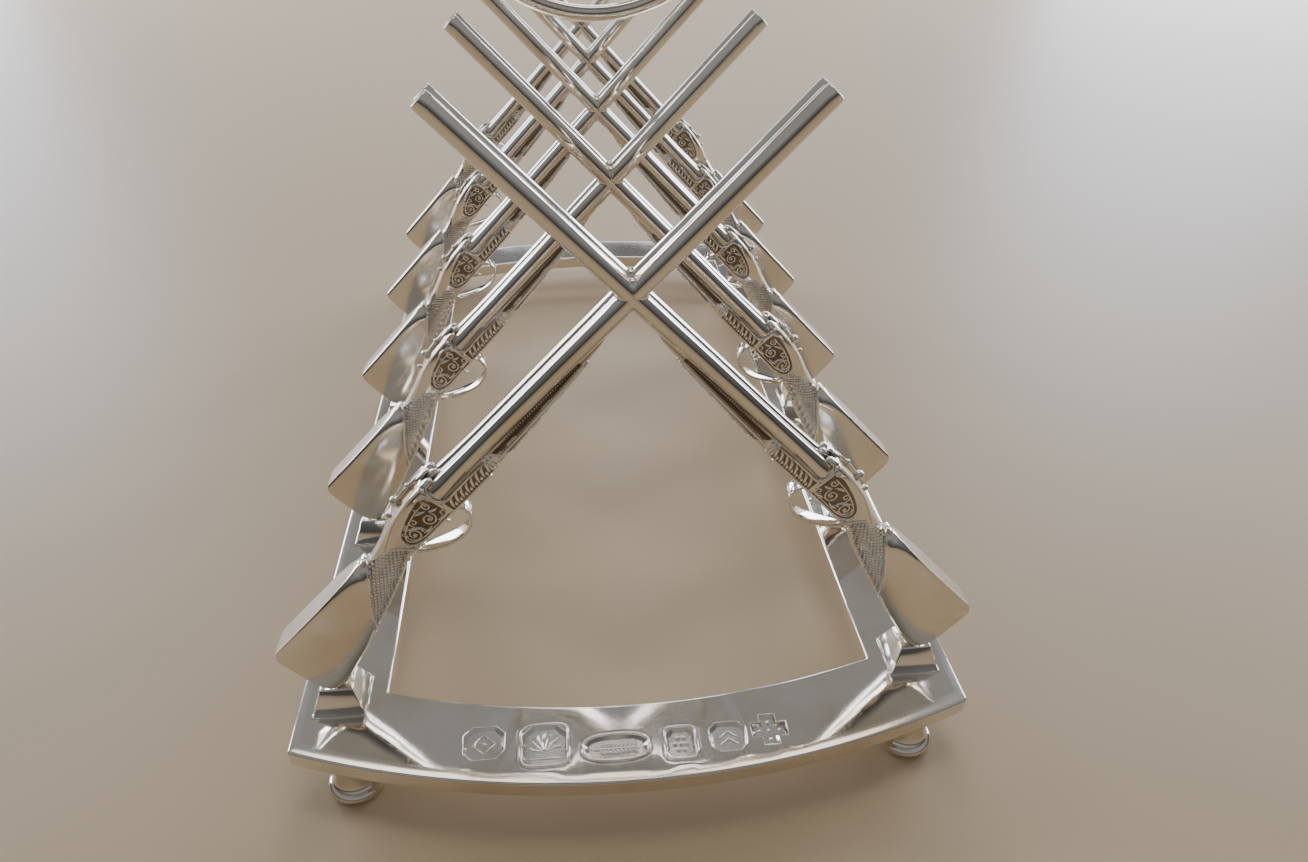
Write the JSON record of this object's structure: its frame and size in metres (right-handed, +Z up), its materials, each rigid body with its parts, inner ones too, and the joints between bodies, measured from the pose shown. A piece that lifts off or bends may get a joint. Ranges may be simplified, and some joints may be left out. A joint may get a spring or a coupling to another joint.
{
  "type": "toast rack",
  "caption": "Silver toast rack: crossed pairs of miniature side-by-side shotguns divide a bowed frame on turned feet, under a ring handle.",
  "frame": {"origin": "centre of the rack, on the surface that its feet stand on", "axes": "+Z up, +Y along the rack from its front end to its back end, +X to the right across it"},
  "size_m": [0.0782, 0.1476, 0.1127],
  "materials": {
    "plate": "mirror-polished sterling silver plate",
    "foot": "turned and polished sterling silver",
    "pedestal": "filed and polished sterling silver",
    "stock": "cast sterling silver, chased and engraved, polished",
    "barrel": "drawn and polished sterling silver",
    "guard": "bent sterling silver strip, polished",
    "ring": "polished sterling silver wire"
  },
  "bodies": {
    "root": {"base_frame": "plate", "foot_front_left": "foot", "foot_front_right": "foot", "foot_back_left": "foot", "foot_back_right": "foot", "pedestal_left_1": "pedestal", "gun_stock_left_1": "stock", "barrels_left_1": "barrel", "trigger_guard_left_1": "guard", "pedestal_right_1": "pedestal", "gun_stock_right_1": "stock", "barrels_right_1": "barrel", "trigger_guard_right_1": "guard", "pedestal_left_2": "pedestal", "gun_stock_left_2": "stock", "barrels_left_2": "barrel", "trigger_guard_left_2": "guard", "pedestal_right_2": "pedestal", "gun_stock_right_2": "stock", "barrels_right_2": "barrel", "trigger_guard_right_2": "guard", "pedestal_left_3": "pedestal", "gun_stock_left_3": "stock", "barrels_left_3": "barrel", "trigger_guard_left_3": "guard", "pedestal_right_3": "pedestal", "gun_stock_right_3": "stock", "barrels_right_3": "barrel", "trigger_guard_right_3": "guard", "pedestal_left_4": "pedestal", "gun_stock_left_4": "stock", "barrels_left_4": "barrel", "trigger_guard_left_4": "guard", "pedestal_right_4": "pedestal", "gun_stock_right_4": "stock", "barrels_right_4": "barrel", "trigger_guard_right_4": "guard", "pedestal_left_5": "pedestal", "gun_stock_left_5": "stock", "barrels_left_5": "barrel", "trigger_guard_left_5": "guard", "pedestal_right_5": "pedestal", "gun_stock_right_5": "stock", "barrels_right_5": "barrel", "trigger_guard_right_5": "guard", "ring_handle": "ring"}
  },
  "joints": []
}
